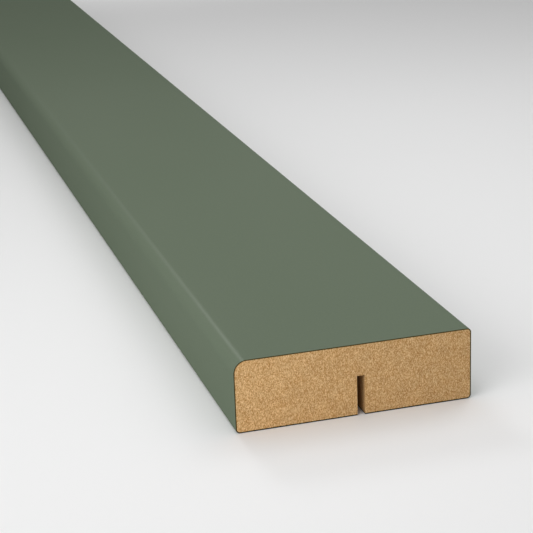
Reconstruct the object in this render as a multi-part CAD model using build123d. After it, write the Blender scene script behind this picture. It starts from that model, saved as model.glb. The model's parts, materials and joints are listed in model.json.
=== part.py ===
from build123d import *
import os

# Decorative strip for a kitchen run: a moulded MDF board wrapped in one sheet of coloured foil.
# The board has a rounded upper front edge, three lightly eased edges and a saw groove along its
# underside. The foil goes all the way round and its two long edges end at the groove's mouth.
#
# Millimetres. X goes from the front edge (-X) to the back edge (+X), Y along the strip, Z up.
# The origin is the middle of the underside, which the strip lies on.

# Driving dimensions of the strip
LENGTH = 2400.0

# Driving dimensions of the board's section
BOARD_WIDTH = 60.0
BOARD_THICKNESS = 18.0
FRONT_RADIUS = 3.0
EASED_RADIUS = 0.8

# Driving dimensions of the foil
FOIL_THICKNESS = 0.3

# Driving dimensions of the groove: its depth goes into the board from the board's underside, and
# its place is the distance from the board's back edge to the groove's nearer wall
GROOVE_WIDTH = 2.0
GROOVE_DEPTH = 10.0
GROOVE_FROM_BACK = 27.5

# The board lies on the foil, so its underside is one foil thickness above the floor
BOARD_BOTTOM = FOIL_THICKNESS
GROOVE_X = BOARD_WIDTH / 2 - GROOVE_FROM_BACK - GROOVE_WIDTH / 2


def board_outline():
    """Section of the board before it is grooved, with its four long edges rounded."""
    blank = Pos(0, BOARD_BOTTOM) * Rectangle(
        BOARD_WIDTH, BOARD_THICKNESS, align=(Align.CENTER, Align.MIN)
    )
    upper_front = blank.vertices().group_by(Axis.Y)[-1].sort_by(Axis.X)[0]
    rounded = fillet(upper_front, FRONT_RADIUS)
    square_corners = [
        corner
        for corner in rounded.vertices()
        if corner.X > 0 or corner.Y < BOARD_BOTTOM + BOARD_THICKNESS / 2
    ]
    return fillet(square_corners, EASED_RADIUS)


def groove_outline():
    """Section of the saw groove, from the floor up through the foil into the board."""
    return Pos(GROOVE_X, 0) * Rectangle(
        GROOVE_WIDTH, BOARD_BOTTOM + GROOVE_DEPTH, align=(Align.CENTER, Align.MIN)
    )


def foil_outline():
    """Section of the foil: an even skin round the board, open at the groove's mouth."""
    board = board_outline()
    return offset(board, FOIL_THICKNESS) - board - groove_outline()


def run_along_strip(section):
    """The section drawn in X and Z, run along Y to both ends of the strip."""
    return extrude(Plane.XZ * section, LENGTH / 2, both=True)


def mdf_core():
    """The grooved board, one piece."""
    return run_along_strip(board_outline() - groove_outline())


def decor_foil():
    """The coloured foil, one piece."""
    return run_along_strip(foil_outline())


os.makedirs("parts", exist_ok=True)
export_step(mdf_core(), "parts/mdf_core.step")
export_step(decor_foil(), "parts/decor_foil.step")
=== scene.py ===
import json
import math

import bmesh
import bpy
from mathutils import Matrix, Vector, noise


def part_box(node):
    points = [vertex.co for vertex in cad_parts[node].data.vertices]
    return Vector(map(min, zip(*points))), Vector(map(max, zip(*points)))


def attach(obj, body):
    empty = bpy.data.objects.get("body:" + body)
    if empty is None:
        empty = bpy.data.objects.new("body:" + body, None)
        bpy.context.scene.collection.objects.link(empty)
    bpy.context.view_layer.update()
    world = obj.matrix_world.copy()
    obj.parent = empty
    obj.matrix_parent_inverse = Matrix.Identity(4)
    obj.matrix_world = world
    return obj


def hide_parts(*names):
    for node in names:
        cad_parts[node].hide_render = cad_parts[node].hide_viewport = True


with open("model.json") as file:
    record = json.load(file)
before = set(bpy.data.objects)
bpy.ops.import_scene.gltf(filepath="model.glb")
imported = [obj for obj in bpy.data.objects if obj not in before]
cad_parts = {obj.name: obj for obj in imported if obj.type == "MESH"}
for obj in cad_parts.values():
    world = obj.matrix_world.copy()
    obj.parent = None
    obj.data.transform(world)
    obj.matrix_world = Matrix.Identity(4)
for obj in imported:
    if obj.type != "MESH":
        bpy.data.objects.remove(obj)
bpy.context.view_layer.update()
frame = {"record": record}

# A foil-wrapped MDF strip, lying on a pale floor and seen from its sawn near end.
# Metres, in the frame of the solids: -X is the rounded front edge, +Y runs along the strip, +Z is up.

FOIL_LOW, FOIL_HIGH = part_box("decor_foil")
BOARD_LOW, BOARD_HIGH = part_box("mdf_core")
MOUNTS = {mount["name"]: mount for mount in frame["record"]["mounts"]}

MM = 0.001

# Sizes of the section
FOIL_THICKNESS = BOARD_LOW.z - FOIL_LOW.z
FRONT_RADIUS = 3.0 * MM
EASED_RADIUS = 0.8 * MM
GROOVE_WIDTH = 2.0 * MM
GROOVE_DEPTH = 10.0 * MM
GROOVE_X = MOUNTS["groove"]["pos_m"][0]
GROOVE_FRONT = GROOVE_X - GROOVE_WIDTH / 2
GROOVE_BACK = GROOVE_X + GROOVE_WIDTH / 2
GROOVE_TOP = BOARD_LOW.z + GROOVE_DEPTH
NEAR_END = FOIL_LOW.y
FAR_END = FOIL_HIGH.y

# Fineness of the meshes, and the angle in degrees from which an edge is shaded sharp
ARC_STEPS = 12
GRID_STEP = 0.3 * MM
WALL_MARGIN = 0.05 * MM
HOLD_GAP = 0.4 * MM
RUN_STEP = 0.1
SHARP_ANGLE = 30

# Relief of the sawn ends, all of it cut inwards from the plane of the solids
FIBRE_RELIEF = 0.015 * MM
FIBRE_SIZE = 0.45 * MM
SAW_MARK_RELIEF = 0.02 * MM
SAW_MARK_WIDTH = 0.7 * MM
SAW_MARK_HEIGHT = 9.0 * MM
CUT_EASE = 0.04 * MM

# The range that most of a noise texture's values lie in
NOISE_RANGE = (0.3, 0.7)

# Grain of the foil: clouds of tone, which are drawn out along the strip, flecks and pressed relief
FOIL_CLOUD_SIZE = 0.09
FOIL_CLOUD_STRETCH = (1, 3, 1)
FOIL_FLECK_SIZE = 0.5 * MM
FOIL_FLECK_SHADES = (0.95, 1.0)
FOIL_GRAIN_SIZE = 0.35 * MM
FOIL_GRAIN_DEPTH = 0.012 * MM

# Grain of the foil's cut edge, and its painted contact shadow from the floor up to the end of the eased
# corner, darkest where it meets the floor
EDGE_GRAIN_SIZE = 0.3 * MM
EDGE_PAINTED_SHADES = (0.1, 1.0)

# Grain of the MDF; its painted shade from front to back, lighter at the front and darker at the back as if
# lit from the front left; and the shades of its sawn ends and of its groove, the groove's being painted
# shade, darker as if little light reached in
MDF_FIBRE_SIZE = 0.18 * MM
MDF_FIBRE_STRETCH = (1, 1, 1.9)
MDF_FIBRE_DEPTH = 0.004 * MM
MDF_SPECK_SIZE = 0.5 * MM
MDF_PATCH_SIZE = 3.5 * MM
MDF_PATCH_SHADES = (0.95, 1.05)
# Painted shade across the board: lighter at the front, darker at the back, as if lit from the front left
MDF_PAINTED_ACROSS_SHADES = (1.07, 0.84)
SAWN_SHADE = 1.0
# Painted shade: the groove's walls and the board's long faces are darkened, as if little light reached into
# the groove
GROOVE_PAINTED_SHADE = 0.84

# The floor, and the part of it round the strip that the lamps light
FLOOR_HALF_SIZE = 40.0
FLOOR_CLOUD_SIZE = 0.4
LIT_LEFT = -0.2
LIT_RIGHT = 0.32
LIT_PAST_ENDS = 0.16
LIT_FADE = 0.18

# Strength of the light from all round, and tone of the backdrop and the floor away from the strip
WORLD_LIGHT = 0.457
PALE_TONE = 0.76
WHITE = (1.0, 1.0, 1.0, 1.0)

# The camera, fitted to the strip's straight edges in the photograph, with its turns in degrees
CAMERA_PLACE = (-117.66 * MM, NEAR_END - 341.21 * MM, 158.77 * MM)
CAMERA_YAW = 15.790
CAMERA_PITCH = 18.371
CAMERA_ROLL = 2.136
CAMERA_LENS = 108.707
CAMERA_SENSOR = 36.0
CAMERA_REACH = (0.01, 100.0)


def linear(red, green, blue):
    """A colour in 8-bit screen values, as the linear values that shaders take."""
    shares = [value / 255 for value in (red, green, blue)]
    return [s / 12.92 if s <= 0.04045 else ((s + 0.055) / 1.055) ** 2.4 for s in shares]


# Outlines of the section


def arc(centre, radius, start, end):
    """Points of an arc in the section and their outward normals, angles in degrees from +X to +Z."""
    points = []
    for step in range(ARC_STEPS + 1):
        angle = math.radians(start + (end - start) * step / ARC_STEPS)
        normal = (math.cos(angle), math.sin(angle))
        points.append(((centre[0] + radius * normal[0], centre[1] + radius * normal[1]), normal))
    return points


def held_run(start, end, normal):
    """A straight run between two arcs, with a point near each arc that keeps its shading flat."""
    along = Vector(end) - Vector(start)
    hold = along.normalized() * HOLD_GAP
    return [(tuple(Vector(start) + hold), normal), (tuple(Vector(end) - hold), normal)]


def wrap_path():
    """The board's outline from the groove's back wall round to its front wall, with outward normals."""
    low, high = BOARD_LOW, BOARD_HIGH
    small, large = EASED_RADIUS, FRONT_RADIUS
    down, out_back, up, out_front = (0, -1), (1, 0), (0, 1), (-1, 0)
    path = [((GROOVE_BACK, low.z), down)]
    path += held_run((GROOVE_BACK, low.z), (high.x - small, low.z), down)[1:]
    path += arc((high.x - small, low.z + small), small, -90, 0)
    path += held_run((high.x, low.z + small), (high.x, high.z - small), out_back)
    path += arc((high.x - small, high.z - small), small, 0, 90)
    path += held_run((high.x - small, high.z), (low.x + large, high.z), up)
    path += arc((low.x + large, high.z - large), large, 90, 180)
    path += held_run((low.x, high.z - large), (low.x, low.z + small), out_front)
    path += arc((low.x + small, low.z + small), small, 180, 270)
    path += held_run((low.x + small, low.z), (GROOVE_FRONT, low.z), down)[:1]
    path += [((GROOVE_FRONT, low.z), down)]
    return path


def rounding_drop(distance, radius):
    """How far a rounded edge has fallen at this distance in from the side."""
    if distance >= radius:
        return 0.0
    return radius - math.sqrt(radius**2 - (radius - distance) ** 2)


def board_bottom(x):
    """Height of the board's underside at x, the groove left out."""
    return BOARD_LOW.z + rounding_drop(min(x - BOARD_LOW.x, BOARD_HIGH.x - x), EASED_RADIUS)


def board_top(x):
    """Height of the board's upper face at x."""
    front_drop = rounding_drop(x - BOARD_LOW.x, FRONT_RADIUS)
    back_drop = rounding_drop(BOARD_HIGH.x - x, EASED_RADIUS)
    return BOARD_HIGH.z - front_drop - back_drop


def even_steps(start, end, step):
    """Values from start to end, both kept, about a step apart."""
    count = max(1, round((end - start) / step))
    return [start + (end - start) * index / count for index in range(count + 1)]


def corner_steps(radius):
    """Distances in from a side that trace a rounded edge evenly."""
    angles = [math.radians(90 * step / ARC_STEPS) for step in range(ARC_STEPS + 1)]
    return [radius * (1 - math.cos(angle)) for angle in angles]


def board_columns():
    """The places across the board, from front to back, where the end's grid has a column."""
    front = [BOARD_LOW.x + distance for distance in corner_steps(FRONT_RADIUS)]
    back = [BOARD_HIGH.x - distance for distance in reversed(corner_steps(EASED_RADIUS))]
    columns = front[:-1] + even_steps(front[-1], GROOVE_FRONT, GRID_STEP)
    columns += even_steps(GROOVE_FRONT, GROOVE_BACK, GRID_STEP)[1:]
    columns += even_steps(GROOVE_BACK, back[0], GRID_STEP)[1:] + back[1:]
    return columns


# Meshes


def sawn_relief(x, y, z):
    """How deep the saw and the torn fibres have cut in at a point of an end."""
    fibre = noise.noise(Vector((x, y, z)) / FIBRE_SIZE)
    mark = noise.noise(Vector((x / SAW_MARK_WIDTH, y / SAW_MARK_WIDTH, z / SAW_MARK_HEIGHT)))
    return FIBRE_RELIEF * (0.5 + 0.5 * fibre) + SAW_MARK_RELIEF * (0.5 + 0.5 * mark)


def end_grid(mesh, y, inwards):
    """One sawn end of the board as a grid of faces. Returns its vertices by column and row."""
    low_rows = even_steps(0.0, 1.0, GRID_STEP / GROOVE_DEPTH)
    high_rows = even_steps(0.0, 1.0, GRID_STEP / (BOARD_HIGH.z - GROOVE_TOP))
    rows_in_groove = len(low_rows) - 1
    grid = []
    for x in board_columns():
        bottom, top = board_bottom(x), board_top(x)
        heights = [bottom + (GROOVE_TOP - bottom) * share for share in low_rows]
        heights += [GROOVE_TOP + (top - GROOVE_TOP) * share for share in high_rows[1:]]
        if abs(x - GROOVE_X) < GROOVE_WIDTH / 2 - WALL_MARGIN:
            heights[:rows_in_groove] = [None] * rows_in_groove
        column = []
        for z in heights:
            depth = 0.0 if z is None else sawn_relief(x, y, z)
            column.append(None if z is None else mesh.verts.new((x, y + inwards * depth, z)))
        grid.append(column)
    for left, right in zip(grid, grid[1:]):
        for row in range(len(left) - 1):
            corners = [left[row], right[row], right[row + 1], left[row + 1]]
            if None not in corners:
                mesh.faces.new(corners if inwards > 0 else corners[::-1])
    return grid


def board_mesh():
    """The grooved board: two sawn ends with relief, joined by long faces in a darker tone, which is painted
    shade for the groove's walls.
    """
    mesh = bmesh.new()
    near = end_grid(mesh, NEAR_END, 1)
    far = end_grid(mesh, FAR_END, -1)
    partner = {}
    for near_column, far_column in zip(near, far):
        for near_vertex, far_vertex in zip(near_column, far_column):
            partner[near_vertex] = far_vertex
    border = [edge for edge in mesh.edges if edge.is_boundary and edge.verts[0] in partner]
    for edge in border:
        first, second = edge.verts
        mesh.faces.new([first, second, partner[second], partner[first]]).material_index = 1
    bmesh.ops.recalc_face_normals(mesh, faces=mesh.faces)
    return mesh


def foil_mesh():
    """The foil: an even skin round the board, eased at both ends, cut there and at the groove."""
    path = wrap_path()
    stations = [(NEAR_END, FOIL_THICKNESS - CUT_EASE)]
    for y in even_steps(NEAR_END + CUT_EASE, FAR_END - CUT_EASE, RUN_STEP):
        stations.append((y, FOIL_THICKNESS))
    stations.append((FAR_END, FOIL_THICKNESS - CUT_EASE))
    mesh = bmesh.new()
    inner, outer = [], []
    for y, thickness in stations:
        inner.append([mesh.verts.new((x, y, z)) for (x, z), _ in path])
        outer.append([
            mesh.verts.new((x + across * thickness, y, z + up * thickness))
            for (x, z), (across, up) in path
        ])
    last = len(path) - 1
    for outside, next_outside, inside, next_inside in zip(outer, outer[1:], inner, inner[1:]):
        for step in range(last):
            mesh.faces.new([outside[step], next_outside[step], next_outside[step + 1], outside[step + 1]])
            mesh.faces.new([inside[step], inside[step + 1], next_inside[step + 1], next_inside[step]])
        for step in (0, last):
            lip = [outside[step], inside[step], next_inside[step], next_outside[step]]
            mesh.faces.new(lip).material_index = 1
    for outside, inside in ((outer[0], inner[0]), (outer[-1], inner[-1])):
        for step in range(last):
            cut = [outside[step], outside[step + 1], inside[step + 1], inside[step]]
            mesh.faces.new(cut).material_index = 1
    bmesh.ops.recalc_face_normals(mesh, faces=mesh.faces)
    return mesh


def add_piece(name, mesh, materials, node):
    """Turns a mesh into a piece that stands for a node of the solids."""
    data = bpy.data.meshes.new(name)
    mesh.to_mesh(data)
    mesh.free()
    data.shade_smooth()
    data.set_sharp_from_angle(angle=math.radians(SHARP_ANGLE))
    for material in materials:
        data.materials.append(material)
    piece = bpy.data.objects.new(name, data)
    bpy.context.scene.collection.objects.link(piece)
    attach(piece, "root")
    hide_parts(node)


# Nodes of the materials


def new_material(name):
    """A node material, with its tree and its surface shader."""
    material = bpy.data.materials.new(name)
    material.use_nodes = True
    return material, material.node_tree, material.node_tree.nodes["Principled BSDF"]


def add_node(tree, kind, inputs=None, **settings):
    """A shader node with these settings and these values on its input sockets."""
    node = tree.nodes.new(kind)
    for key, value in settings.items():
        setattr(node, key, value)
    for key, value in (inputs or {}).items():
        node.inputs[key].default_value = value
    return node


def grain(tree, size, stretch=(1, 1, 1), detail=2.0):
    """Solid noise with features about this size, drawn out along the axes by stretch."""
    place = add_node(tree, "ShaderNodeTexCoord")
    scale = [1 / (size * share) for share in stretch]
    mapping = add_node(tree, "ShaderNodeMapping", {"Scale": scale})
    texture = add_node(tree, "ShaderNodeTexNoise", {"Scale": 1.0, "Detail": detail})
    tree.links.new(place.outputs["Object"], mapping.inputs["Vector"])
    tree.links.new(mapping.outputs["Vector"], texture.inputs["Vector"])
    return texture.outputs["Fac"]


def place_along(tree, axis):
    """The place of each point along one axis of the strip, in metres."""
    place = add_node(tree, "ShaderNodeTexCoord")
    split = add_node(tree, "ShaderNodeSeparateXYZ")
    tree.links.new(place.outputs["Object"], split.inputs["Vector"])
    return split.outputs[axis]


def ramp(tree, factor, stops):
    """A colour ramp over a factor, from (place, colour) stops."""
    node = add_node(tree, "ShaderNodeValToRGB")
    elements = node.color_ramp.elements
    while len(elements) < len(stops):
        elements.new(0.5)
    for element, (place, colour) in zip(elements, stops):
        element.position = place
        element.color = (*colour, 1.0)
    tree.links.new(factor, node.inputs["Fac"])
    return node.outputs["Color"]


def two_tone(tree, factor, darker, lighter):
    """A colour that goes from darker to lighter over the range of a noise."""
    return ramp(tree, factor, list(zip(NOISE_RANGE, (darker, lighter))))


def to_range(tree, value, old, new):
    """A value carried from an old range to a new one, and held at the new range's ends."""
    limits = {"From Min": old[0], "From Max": old[1], "To Min": new[0], "To Max": new[1]}
    node = add_node(tree, "ShaderNodeMapRange", limits, clamp=True)
    tree.links.new(value, node.inputs["Value"])
    return node.outputs["Result"]


def tinted(tree, colour, shade):
    """A colour multiplied by a shade that varies over the surface."""
    node = add_node(tree, "ShaderNodeMix", {"Factor": 1.0}, data_type="RGBA", blend_type="MULTIPLY")
    tree.links.new(colour, node.inputs["A"])
    tree.links.new(shade, node.inputs["B"])
    return node.outputs["Result"]


def combined(tree, operation, first, second):
    """Two values taken together by an operation such as MAXIMUM or MULTIPLY."""
    node = add_node(tree, "ShaderNodeMath", operation=operation)
    tree.links.new(first, node.inputs[0])
    tree.links.new(second, node.inputs[1])
    return node.outputs["Value"]


def seen(tree):
    """1 for rays from the camera, also by way of gloss or glass, and 0 for rays that only light."""
    path = add_node(tree, "ShaderNodeLightPath")
    gloss, glass = path.outputs["Is Glossy Ray"], path.outputs["Is Transmission Ray"]
    return combined(tree, "MAXIMUM", path.outputs["Is Camera Ray"], combined(tree, "MAXIMUM", gloss, glass))


def off_lit_floor(tree):
    """Distance on the floor from the rectangle round the strip that the lamps light, 0 inside it."""
    middle = ((LIT_LEFT + LIT_RIGHT) / 2, 0, 0)
    half_size = ((LIT_RIGHT - LIT_LEFT) / 2, FAR_END + LIT_PAST_ENDS, 0)
    place = add_node(tree, "ShaderNodeTexCoord")
    from_middle = add_node(tree, "ShaderNodeVectorMath", {1: middle}, operation="SUBTRACT")
    either_side = add_node(tree, "ShaderNodeVectorMath", operation="ABSOLUTE")
    past_edge = add_node(tree, "ShaderNodeVectorMath", {1: half_size}, operation="SUBTRACT")
    outside = add_node(tree, "ShaderNodeVectorMath", {1: (0, 0, 0)}, operation="MAXIMUM")
    distance = add_node(tree, "ShaderNodeVectorMath", operation="LENGTH")
    tree.links.new(place.outputs["Object"], from_middle.inputs[0])
    tree.links.new(from_middle.outputs["Vector"], either_side.inputs[0])
    tree.links.new(either_side.outputs["Vector"], past_edge.inputs[0])
    tree.links.new(past_edge.outputs["Vector"], outside.inputs[0])
    tree.links.new(outside.outputs["Vector"], distance.inputs[0])
    return distance.outputs["Value"]


def bump(tree, shader, height, depth):
    """Gives the shader fine relief of this depth in metres."""
    node = add_node(tree, "ShaderNodeBump", {"Strength": 1.0, "Distance": depth})
    tree.links.new(height, node.inputs["Height"])
    tree.links.new(node.outputs["Normal"], shader.inputs["Normal"])


# Materials


def foil_material():
    """Matt sage green foil with a faint gloss, a fine pressed grain and a barely uneven tone."""
    material, tree, shader = new_material("foil_sage")
    clouds = grain(tree, FOIL_CLOUD_SIZE, FOIL_CLOUD_STRETCH)
    tone = two_tone(tree, clouds, linear(101, 113, 95), linear(105, 116, 99))
    flecks = to_range(tree, grain(tree, FOIL_FLECK_SIZE, detail=3.0), NOISE_RANGE, FOIL_FLECK_SHADES)
    tree.links.new(tinted(tree, tone, flecks), shader.inputs["Base Color"])
    shader.inputs["Roughness"].default_value = 0.8
    shader.inputs["Specular IOR Level"].default_value = 0.0
    shader.inputs["Coat Weight"].default_value = 0.03
    shader.inputs["Coat Roughness"].default_value = 0.3
    shader.inputs["Coat IOR"].default_value = 4.0
    bump(tree, shader, grain(tree, FOIL_GRAIN_SIZE, detail=3.0), FOIL_GRAIN_DEPTH)
    return material


def foil_edge_material():
    """The cut edge of the foil, dark with the glue line under it, and with a painted contact shadow that
    makes it darkest along the floor.
    """
    material, tree, shader = new_material("foil_cut_edge")
    tone = two_tone(tree, grain(tree, EDGE_GRAIN_SIZE), linear(60, 52, 24), linear(80, 70, 40))
    eased_corner = (BOARD_LOW.z, BOARD_LOW.z + EASED_RADIUS)
    # Painted contact shadow: the cut edge darkens towards the floor
    painted_floor_shadow = to_range(tree, place_along(tree, "Z"), eased_corner, EDGE_PAINTED_SHADES)
    tree.links.new(tinted(tree, tone, painted_floor_shadow), shader.inputs["Base Color"])
    shader.inputs["Roughness"].default_value = 0.8
    shader.inputs["Specular IOR Level"].default_value = 0.0
    return material


def mdf_material(name, shade):
    """Sawn MDF: pressed fibres in light and dark flecks, a few dark specks, and painted shade that makes
    the back side darker; the shade given darkens it further, as painted shade in the groove.
    """
    material, tree, shader = new_material(name)
    fibres = grain(tree, MDF_FIBRE_SIZE, MDF_FIBRE_STRETCH, detail=0.0)
    fibre_tones = [
        (0.22, linear(175, 127, 69)),
        (0.42, linear(196, 154, 100)),
        (0.58, linear(210, 170, 118)),
        (0.78, linear(231, 197, 148)),
    ]
    speck_tones = [(0.22, linear(205, 180, 150)), (0.34, linear(255, 255, 255))]
    flecks = ramp(tree, fibres, fibre_tones)
    specks = ramp(tree, grain(tree, MDF_SPECK_SIZE, detail=1.0), speck_tones)
    # The shade given darkens the patches: painted shade in the groove's material, none on the sawn ends
    patch_shades = [shade * patch_shade for patch_shade in MDF_PATCH_SHADES]
    patches = to_range(tree, grain(tree, MDF_PATCH_SIZE), NOISE_RANGE, patch_shades)
    # Painted shade: lighter at the front edge, darker towards the back
    across = to_range(tree, place_along(tree, "X"), (BOARD_LOW.x, BOARD_HIGH.x), MDF_PAINTED_ACROSS_SHADES)
    sawn = tinted(tree, tinted(tree, flecks, specks), patches)
    tree.links.new(tinted(tree, sawn, across), shader.inputs["Base Color"])
    shader.inputs["Roughness"].default_value = 0.85
    shader.inputs["Specular IOR Level"].default_value = 0.25
    bump(tree, shader, fibres, MDF_FIBRE_DEPTH)
    return material


def floor_material():
    """Pale matt floor, which goes over to one even tone away from the strip, where the lamps end."""
    material, tree, shader = new_material("pale_floor")
    fade = to_range(tree, off_lit_floor(tree), (0, LIT_FADE), (0, 1))
    away = combined(tree, "MULTIPLY", fade, seen(tree))
    tone = two_tone(tree, grain(tree, FLOOR_CLOUD_SIZE), linear(238, 238, 238), linear(241, 241, 241))
    lit = to_range(tree, away, (0, 1), (1, 0))
    glow = to_range(tree, away, (0, 1), (0, PALE_TONE))
    tree.links.new(tinted(tree, tone, lit), shader.inputs["Base Color"])
    shader.inputs["Roughness"].default_value = 0.8
    shader.inputs["Specular IOR Level"].default_value = 0.0
    shader.inputs["Emission Color"].default_value = WHITE
    tree.links.new(glow, shader.inputs["Emission Strength"])
    return material


# Stage, lamps and camera


def add_floor():
    """A wide level floor just under the strip."""
    half = FLOOR_HALF_SIZE
    data = bpy.data.meshes.new("floor")
    corners = [(-half, -half, 0), (half, -half, 0), (half, half, 0), (-half, half, 0)]
    data.from_pydata(corners, [], [(0, 1, 2, 3)])
    data.materials.append(floor_material())
    floor = bpy.data.objects.new("floor", data)
    bpy.context.scene.collection.objects.link(floor)


def add_world():
    """Even light from all round, and a pale background where the world itself is seen."""
    world = bpy.data.worlds.new("studio")
    world.use_nodes = True
    tree = world.node_tree
    background = tree.nodes["Background"]
    background.inputs["Color"].default_value = WHITE
    strength = to_range(tree, seen(tree), (0, 1), (WORLD_LIGHT, PALE_TONE))
    tree.links.new(strength, background.inputs["Strength"])
    bpy.context.scene.world = world


def add_softbox(name, place, target, width, length, power, spread):
    """A softbox turned to a target, its light kept within the spread, which is in degrees.

    The place and the target are given from the foot of the strip's near end.
    """
    near_foot = Vector((0, NEAR_END, 0))
    start, end = near_foot + Vector(place), near_foot + Vector(target)
    data = bpy.data.lights.new(name, "AREA")
    data.shape = "RECTANGLE"
    data.size = width
    data.size_y = length
    data.energy = power
    data.spread = math.radians(spread)
    lamp = bpy.data.objects.new(name, data)
    lamp.location = start
    lamp.rotation_euler = (end - start).to_track_quat("-Z", "Y").to_euler()
    lamp.visible_camera = False
    bpy.context.scene.collection.objects.link(lamp)


def add_lamps():
    """Softboxes over the near end, low at its left, behind it, high at its right and over the rest."""
    add_softbox(
        "overhead",
        place=(0, 0.13, 0.4),
        target=(0, 0.07, 0),
        width=0.4,
        length=0.4,
        power=0.366,
        spread=180.0,
    )
    add_softbox(
        "left",
        place=(-0.4, -0.23, 0.23),
        target=(0, 0, 0),
        width=0.5,
        length=0.36,
        power=0.402,
        spread=80.0,
    )
    add_softbox(
        "behind",
        place=(-0.08, 1.29, 0.77),
        target=(0, 0, 0),
        width=0.3,
        length=0.25,
        power=0.37,
        spread=60.0,
    )
    add_softbox(
        "right",
        place=(0.5, 0.5, 0.7),
        target=(0, 0, 0),
        width=0.5,
        length=0.4,
        power=0.154,
        spread=60.0,
    )
    add_softbox(
        "rest_of_strip",
        place=(0, 1.856, 0.32),
        target=(0, 1.856, 0),
        width=1.3,
        length=2.288,
        power=3.87,
        spread=50.0,
    )


def add_camera():
    """The photograph's view of the near end."""
    data = bpy.data.cameras.new("camera")
    data.sensor_width = CAMERA_SENSOR
    data.lens = CAMERA_LENS
    data.clip_start, data.clip_end = CAMERA_REACH
    yaw = Matrix.Rotation(-math.radians(CAMERA_YAW), 4, "Z")
    pitch = Matrix.Rotation(math.pi / 2 - math.radians(CAMERA_PITCH), 4, "X")
    roll = Matrix.Rotation(-math.radians(CAMERA_ROLL), 4, "Z")
    camera = bpy.data.objects.new("camera", data)
    camera.matrix_world = Matrix.Translation(CAMERA_PLACE) @ yaw @ pitch @ roll
    bpy.context.scene.collection.objects.link(camera)
    bpy.context.scene.camera = camera


# The second board material darkens the groove's walls with painted shade
BOARD_MATERIALS = [mdf_material("mdf_sawn", SAWN_SHADE), mdf_material("mdf_groove_painted_shade", GROOVE_PAINTED_SHADE)]
FOIL_MATERIALS = [foil_material(), foil_edge_material()]
add_piece("mdf_core_sawn", board_mesh(), BOARD_MATERIALS, "mdf_core")
add_piece("decor_foil_wrap", foil_mesh(), FOIL_MATERIALS, "decor_foil")
add_floor()
add_world()
add_lamps()
add_camera()
bpy.context.scene.view_settings.view_transform = "Standard"
